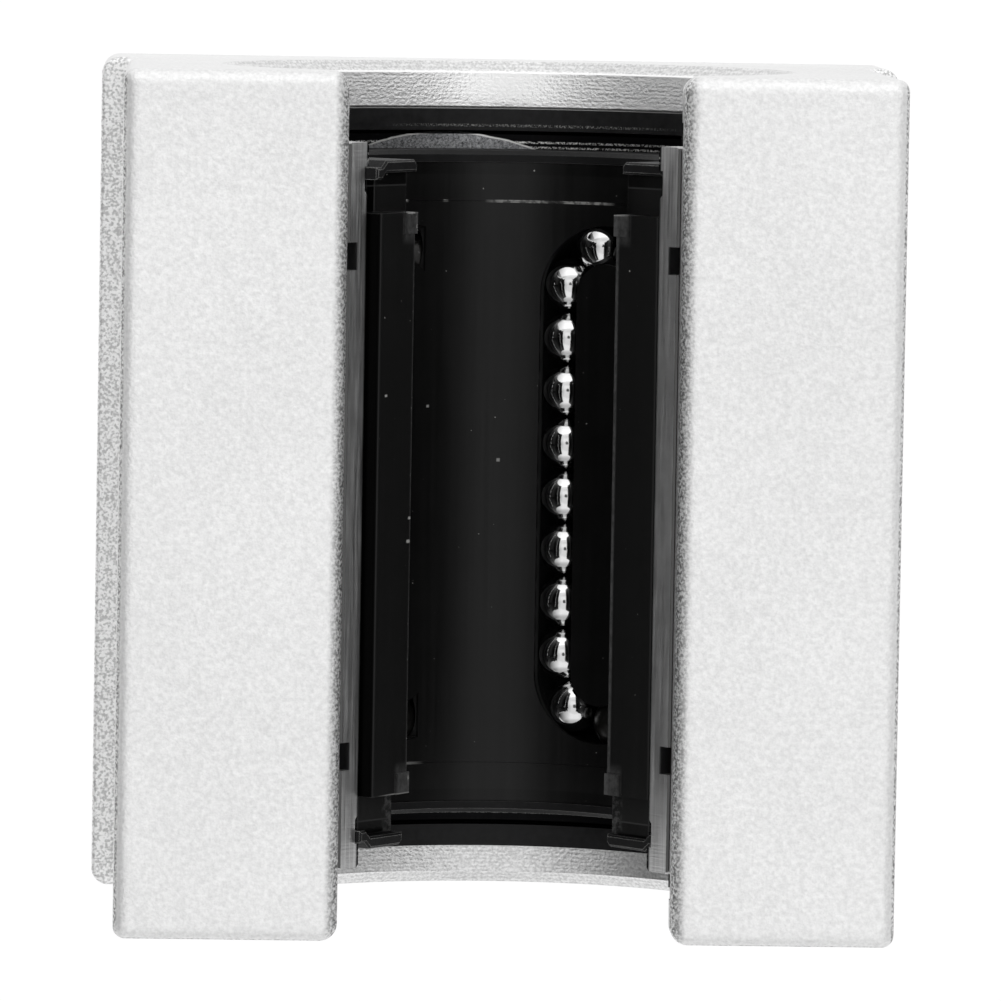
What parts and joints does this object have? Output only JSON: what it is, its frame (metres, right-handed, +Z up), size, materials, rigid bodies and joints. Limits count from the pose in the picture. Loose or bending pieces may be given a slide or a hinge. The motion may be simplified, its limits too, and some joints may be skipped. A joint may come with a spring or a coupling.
{
  "type": "linear bearing block",
  "caption": "Open linear ball bearing block: aluminium slide unit with a slotted bore, recirculating ball bushing, end seals and circlips, tapped mounting face.",
  "frame": {"origin": "middle of the mounting face", "axes": "+Z up through the slot, away from the mounting face; +Y along the shaft; +X across the block toward the lock screw"},
  "size_m": [0.048, 0.05, 0.039],
  "materials": {
    "anodised_aluminium": "sand blasted and clear anodised",
    "bearing_steel": "hardened and ground",
    "ball_steel": "polished",
    "retainer_plastic": "moulded, satin",
    "seal_rubber": "moulded rubber",
    "black_oxide_steel": "black oxide"
  },
  "bodies": {
    "root": {"ball_retainer": "retainer_plastic", "circlip_back": "black_oxide_steel", "circlip_front": "black_oxide_steel", "circuit_1_load_ball_1": "ball_steel", "circuit_1_load_ball_2": "ball_steel", "circuit_1_load_ball_3": "ball_steel", "circuit_1_load_ball_4": "ball_steel", "circuit_1_load_ball_5": "ball_steel", "circuit_1_load_ball_6": "ball_steel", "circuit_1_load_ball_7": "ball_steel", "circuit_1_load_ball_8": "ball_steel", "circuit_1_return_balls": "ball_steel", "circuit_1_turn_ball_back": "ball_steel", "circuit_1_turn_ball_front": "ball_steel", "circuit_2_load_ball_1": "ball_steel", "circuit_2_load_ball_2": "ball_steel", "circuit_2_load_ball_3": "ball_steel", "circuit_2_load_ball_4": "ball_steel", "circuit_2_load_ball_5": "ball_steel", "circuit_2_load_ball_6": "ball_steel", "circuit_2_load_ball_7": "ball_steel", "circuit_2_load_ball_8": "ball_steel", "circuit_2_return_balls": "ball_steel", "circuit_2_turn_ball_back": "ball_steel", "circuit_2_turn_ball_front": "ball_steel", "circuit_3_load_ball_1": "ball_steel", "circuit_3_load_ball_2": "ball_steel", "circuit_3_load_ball_3": "ball_steel", "circuit_3_load_ball_4": "ball_steel", "circuit_3_load_ball_5": "ball_steel", "circuit_3_load_ball_6": "ball_steel", "circuit_3_load_ball_7": "ball_steel", "circuit_3_load_ball_8": "ball_steel", "circuit_3_return_balls": "ball_steel", "circuit_3_turn_ball_back": "ball_steel", "circuit_3_turn_ball_front": "ball_steel", "circuit_4_load_ball_1": "ball_steel", "circuit_4_load_ball_2": "ball_steel", "circuit_4_load_ball_3": "ball_steel", "circuit_4_load_ball_4": "ball_steel", "circuit_4_load_ball_5": "ball_steel", "circuit_4_load_ball_6": "ball_steel", "circuit_4_load_ball_7": "ball_steel", "circuit_4_load_ball_8": "ball_steel", "circuit_4_return_balls": "ball_steel", "circuit_4_turn_ball_back": "ball_steel", "circuit_4_turn_ball_front": "ball_steel", "end_ring_back": "retainer_plastic", "end_ring_front": "retainer_plastic", "housing": "anodised_aluminium", "lock_set_screw": "black_oxide_steel", "outer_sleeve": "bearing_steel", "wiper_seal_back": "seal_rubber", "wiper_seal_front": "seal_rubber"}
  },
  "joints": []
}
